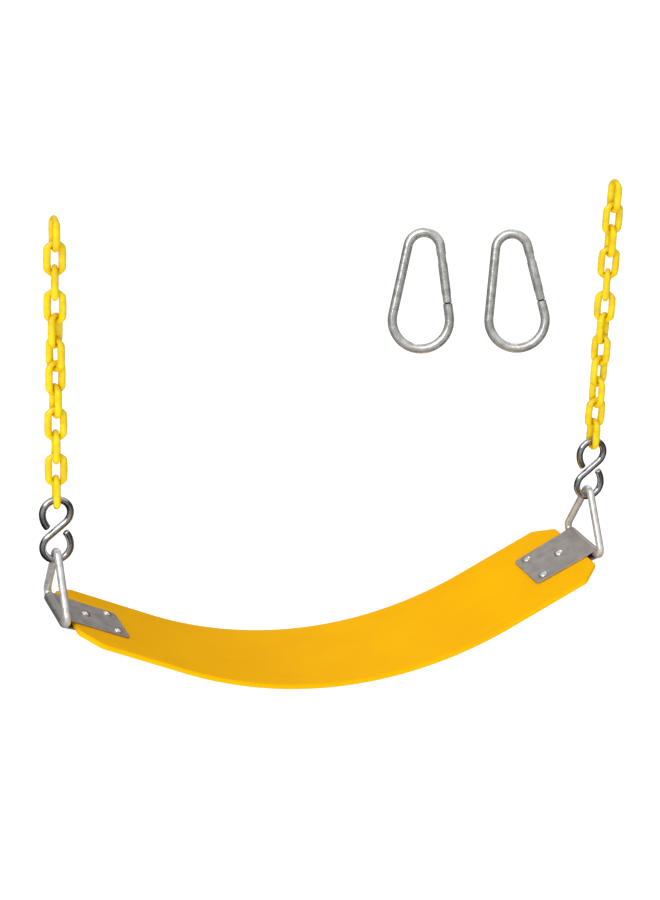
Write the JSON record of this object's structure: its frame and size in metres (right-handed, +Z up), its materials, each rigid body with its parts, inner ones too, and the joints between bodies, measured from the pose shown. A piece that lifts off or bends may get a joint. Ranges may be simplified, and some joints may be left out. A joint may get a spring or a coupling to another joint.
{
  "type": "swing set",
  "caption": "Belt swing seat with riveted end plates, dee rings and S-hooks, hung on two plastic-coated chains, with two loose pear-shaped snap hooks.",
  "frame": {"origin": "midway between the two hanging points, where a hanger bears inside the top link of each chain", "axes": "+X along the seat from its left chain to its right chain, +Y to the back, +Z up"},
  "size_m": [0.6316, 0.134, 0.5101],
  "materials": {
    "coated_chain": "soft gloss plastic coating over steel links",
    "belt_rubber": "moulded satin",
    "galvanised_plate": "dull galvanised",
    "rivet_steel": "bright zinc",
    "zinc_wire": "bright zinc plated",
    "snap_hook_zinc": "satin zinc plated",
    "spring_steel": "drawn wire"
  },
  "bodies": {
    "hanging_points": {"chain_left_link_12": "coated_chain", "chain_right_link_12": "coated_chain"},
    "left_link_11": {"chain_left_link_11": "coated_chain"},
    "left_link_10": {"chain_left_link_10": "coated_chain"},
    "left_link_09": {"chain_left_link_09": "coated_chain"},
    "left_link_08": {"chain_left_link_08": "coated_chain"},
    "left_link_07": {"chain_left_link_07": "coated_chain"},
    "left_link_06": {"chain_left_link_06": "coated_chain"},
    "left_link_05": {"chain_left_link_05": "coated_chain"},
    "left_link_04": {"chain_left_link_04": "coated_chain"},
    "left_link_03": {"chain_left_link_03": "coated_chain"},
    "left_link_02": {"chain_left_link_02": "coated_chain"},
    "left_link_01": {"chain_left_link_01": "coated_chain"},
    "left_s_hook": {"s_hook_left": "zinc_wire"},
    "left_dee": {"dee_left": "zinc_wire"},
    "right_link_11": {"chain_right_link_11": "coated_chain"},
    "right_link_10": {"chain_right_link_10": "coated_chain"},
    "right_link_09": {"chain_right_link_09": "coated_chain"},
    "right_link_08": {"chain_right_link_08": "coated_chain"},
    "right_link_07": {"chain_right_link_07": "coated_chain"},
    "right_link_06": {"chain_right_link_06": "coated_chain"},
    "right_link_05": {"chain_right_link_05": "coated_chain"},
    "right_link_04": {"chain_right_link_04": "coated_chain"},
    "right_link_03": {"chain_right_link_03": "coated_chain"},
    "right_link_02": {"chain_right_link_02": "coated_chain"},
    "right_link_01": {"chain_right_link_01": "coated_chain"},
    "right_s_hook": {"s_hook_right": "zinc_wire"},
    "right_dee": {"dee_right": "zinc_wire"},
    "seat": {"belt_seat": "belt_rubber", "bracket_left": "galvanised_plate", "bracket_right": "galvanised_plate", "rivets_left": "rivet_steel", "rivets_right": "rivet_steel"},
    "left_snap_hook": {"snap_left_body": "snap_hook_zinc"},
    "left_gate": {"snap_left_gate": "snap_hook_zinc", "snap_left_hinge_pin": "snap_hook_zinc", "snap_left_latch_pin": "snap_hook_zinc", "snap_left_spring": "spring_steel"},
    "left_plunger": {"snap_left_plunger": "snap_hook_zinc"},
    "right_snap_hook": {"snap_right_body": "snap_hook_zinc"},
    "right_gate": {"snap_right_gate": "snap_hook_zinc", "snap_right_hinge_pin": "snap_hook_zinc", "snap_right_latch_pin": "snap_hook_zinc", "snap_right_spring": "spring_steel"},
    "right_plunger": {"snap_right_plunger": "snap_hook_zinc"}
  },
  "joints": [
    {"name": "swing", "type": "hinge", "parent": "hanging_points", "child": "left_link_11", "pos_m": [-0.298, 0, -0.0212], "axis": [1, 0, 0], "range_deg": [-45, 45]},
    {"name": "left_link_10_bend", "type": "hinge", "parent": "left_link_11", "child": "left_link_10", "pos_m": [-0.298, 0, -0.0514], "axis": [1, 0, 0], "range_deg": [-8, 8]},
    {"name": "left_link_09_bend", "type": "hinge", "parent": "left_link_10", "child": "left_link_09", "pos_m": [-0.298, 0, -0.0694], "axis": [1, 0, 0], "range_deg": [-8, 8]},
    {"name": "left_link_08_bend", "type": "hinge", "parent": "left_link_09", "child": "left_link_08", "pos_m": [-0.298, 0, -0.0996], "axis": [1, 0, 0], "range_deg": [-8, 8]},
    {"name": "left_link_07_bend", "type": "hinge", "parent": "left_link_08", "child": "left_link_07", "pos_m": [-0.298, 0, -0.1237], "axis": [1, 0, 0], "range_deg": [-3, 3]},
    {"name": "left_link_06_bend", "type": "hinge", "parent": "left_link_07", "child": "left_link_06", "pos_m": [-0.298, 0, -0.1417], "axis": [1, 0, 0], "range_deg": [-3, 3]},
    {"name": "left_link_05_bend", "type": "hinge", "parent": "left_link_06", "child": "left_link_05", "pos_m": [-0.298, 0, -0.1719], "axis": [1, 0, 0], "range_deg": [-3, 3]},
    {"name": "left_link_04_bend", "type": "hinge", "parent": "left_link_05", "child": "left_link_04", "pos_m": [-0.298, 0, -0.1899], "axis": [1, 0, 0], "range_deg": [-3, 3]},
    {"name": "left_link_03_bend", "type": "hinge", "parent": "left_link_04", "child": "left_link_03", "pos_m": [-0.298, 0, -0.2201], "axis": [1, 0, 0], "range_deg": [-3, 3]},
    {"name": "left_link_02_bend", "type": "hinge", "parent": "left_link_03", "child": "left_link_02", "pos_m": [-0.298, 0, -0.2381], "axis": [1, 0, 0], "range_deg": [-8, 8]},
    {"name": "left_link_01_bend", "type": "hinge", "parent": "left_link_02", "child": "left_link_01", "pos_m": [-0.298, 0, -0.2683], "axis": [1, 0, 0], "range_deg": [-8, 8]},
    {"name": "left_s_hook_swing", "type": "hinge", "parent": "left_link_01", "child": "left_s_hook", "pos_m": [-0.298, 0, -0.28565], "axis": [1, 0, 0], "range_deg": [-20, 20]},
    {"name": "left_dee_sway", "type": "hinge", "parent": "left_s_hook", "child": "left_dee", "pos_m": [-0.298, 0, -0.3428], "axis": [0, 1, 0], "range_deg": [-12, 12]},
    {"name": "swing_right", "type": "hinge", "parent": "hanging_points", "child": "right_link_11", "pos_m": [0.298, 0, -0.0212], "axis": [1, 0, 0], "range_deg": [-45, 45]},
    {"name": "right_link_10_bend", "type": "hinge", "parent": "right_link_11", "child": "right_link_10", "pos_m": [0.298, 0, -0.0514], "axis": [1, 0, 0], "range_deg": [-8, 8]},
    {"name": "right_link_09_bend", "type": "hinge", "parent": "right_link_10", "child": "right_link_09", "pos_m": [0.298, 0, -0.0694], "axis": [1, 0, 0], "range_deg": [-8, 8]},
    {"name": "right_link_08_bend", "type": "hinge", "parent": "right_link_09", "child": "right_link_08", "pos_m": [0.298, 0, -0.0996], "axis": [1, 0, 0], "range_deg": [-8, 8]},
    {"name": "right_link_07_bend", "type": "hinge", "parent": "right_link_08", "child": "right_link_07", "pos_m": [0.298, 0, -0.1176], "axis": [1, 0, 0], "range_deg": [-3, 3]},
    {"name": "right_link_06_bend", "type": "hinge", "parent": "right_link_07", "child": "right_link_06", "pos_m": [0.298, 0, -0.1478], "axis": [1, 0, 0], "range_deg": [-3, 3]},
    {"name": "right_link_05_bend", "type": "hinge", "parent": "right_link_06", "child": "right_link_05", "pos_m": [0.298, 0, -0.1719], "axis": [1, 0, 0], "range_deg": [-3, 3]},
    {"name": "right_link_04_bend", "type": "hinge", "parent": "right_link_05", "child": "right_link_04", "pos_m": [0.298, 0, -0.1899], "axis": [1, 0, 0], "range_deg": [-3, 3]},
    {"name": "right_link_03_bend", "type": "hinge", "parent": "right_link_04", "child": "right_link_03", "pos_m": [0.298, 0, -0.2201], "axis": [1, 0, 0], "range_deg": [-3, 3]},
    {"name": "right_link_02_bend", "type": "hinge", "parent": "right_link_03", "child": "right_link_02", "pos_m": [0.298, 0, -0.2381], "axis": [1, 0, 0], "range_deg": [-8, 8]},
    {"name": "right_link_01_bend", "type": "hinge", "parent": "right_link_02", "child": "right_link_01", "pos_m": [0.298, 0, -0.2683], "axis": [1, 0, 0], "range_deg": [-8, 8]},
    {"name": "right_s_hook_swing", "type": "hinge", "parent": "right_link_01", "child": "right_s_hook", "pos_m": [0.298, 0, -0.28565], "axis": [1, 0, 0], "range_deg": [-20, 20]},
    {"name": "right_dee_sway", "type": "hinge", "parent": "right_s_hook", "child": "right_dee", "pos_m": [0.298, 0, -0.3428], "axis": [0, 1, 0], "range_deg": [-12, 12]},
    {"name": "seat_level", "type": "hinge", "parent": "left_dee", "child": "seat", "pos_m": [-0.298, 0, -0.4064], "axis": [0, 1, 0], "range_deg": [-12, 12]},
    {"name": "lift_left_snap_hook", "type": "slide", "parent": "hanging_points", "child": "left_snap_hook", "axis": [0, 0, 1], "range_m": [0, 0.2]},
    {"name": "left_gate_open", "type": "hinge", "parent": "left_snap_hook", "child": "left_gate", "pos_m": [0.1063, 0.00177, -0.06541], "axis": [0.4106, 0.8608, -0.3007], "range_deg": [0, 28], "stiffness_Nm_per_rad": 0.6, "springref_deg": -17.19},
    {"name": "left_plunger_slide", "type": "slide", "parent": "left_gate", "child": "left_plunger", "axis": [0.0427, -0.3476, -0.9367], "range_m": [0, 0.0008]},
    {"name": "lift_right_snap_hook", "type": "slide", "parent": "hanging_points", "child": "right_snap_hook", "axis": [0, 0, 1], "range_m": [0, 0.2]},
    {"name": "right_gate_open", "type": "hinge", "parent": "right_snap_hook", "child": "right_gate", "pos_m": [0.2078, 0.00417, -0.07218], "axis": [0.4106, 0.8608, -0.3007], "range_deg": [0, 28], "stiffness_Nm_per_rad": 0.6, "springref_deg": -17.19},
    {"name": "right_plunger_slide", "type": "slide", "parent": "right_gate", "child": "right_plunger", "axis": [0.1534, -0.3903, -0.9078], "range_m": [0, 0.0008]}
  ],
  "couplings": [
    {"joint": "swing_right", "follows": "swing", "ratio": 1},
    {"joint": "right_link_10_bend", "follows": "left_link_10_bend", "ratio": 1},
    {"joint": "right_link_09_bend", "follows": "left_link_09_bend", "ratio": 1},
    {"joint": "right_link_08_bend", "follows": "left_link_08_bend", "ratio": 1},
    {"joint": "right_link_07_bend", "follows": "left_link_07_bend", "ratio": 1},
    {"joint": "right_link_06_bend", "follows": "left_link_06_bend", "ratio": 1},
    {"joint": "right_link_05_bend", "follows": "left_link_05_bend", "ratio": 1},
    {"joint": "right_link_04_bend", "follows": "left_link_04_bend", "ratio": 1},
    {"joint": "right_link_03_bend", "follows": "left_link_03_bend", "ratio": 1},
    {"joint": "right_link_02_bend", "follows": "left_link_02_bend", "ratio": 1},
    {"joint": "right_link_01_bend", "follows": "left_link_01_bend", "ratio": 1},
    {"joint": "right_s_hook_swing", "follows": "left_s_hook_swing", "ratio": 1},
    {"joint": "right_dee_sway", "follows": "left_dee_sway", "ratio": 1},
    {"joint": "seat_level", "follows": "left_dee_sway", "ratio": -1},
    {"joint": "left_plunger_slide", "follows": "left_gate_open", "m_per_rad": 0.00125},
    {"joint": "right_plunger_slide", "follows": "right_gate_open", "m_per_rad": 0.00125}
  ]
}
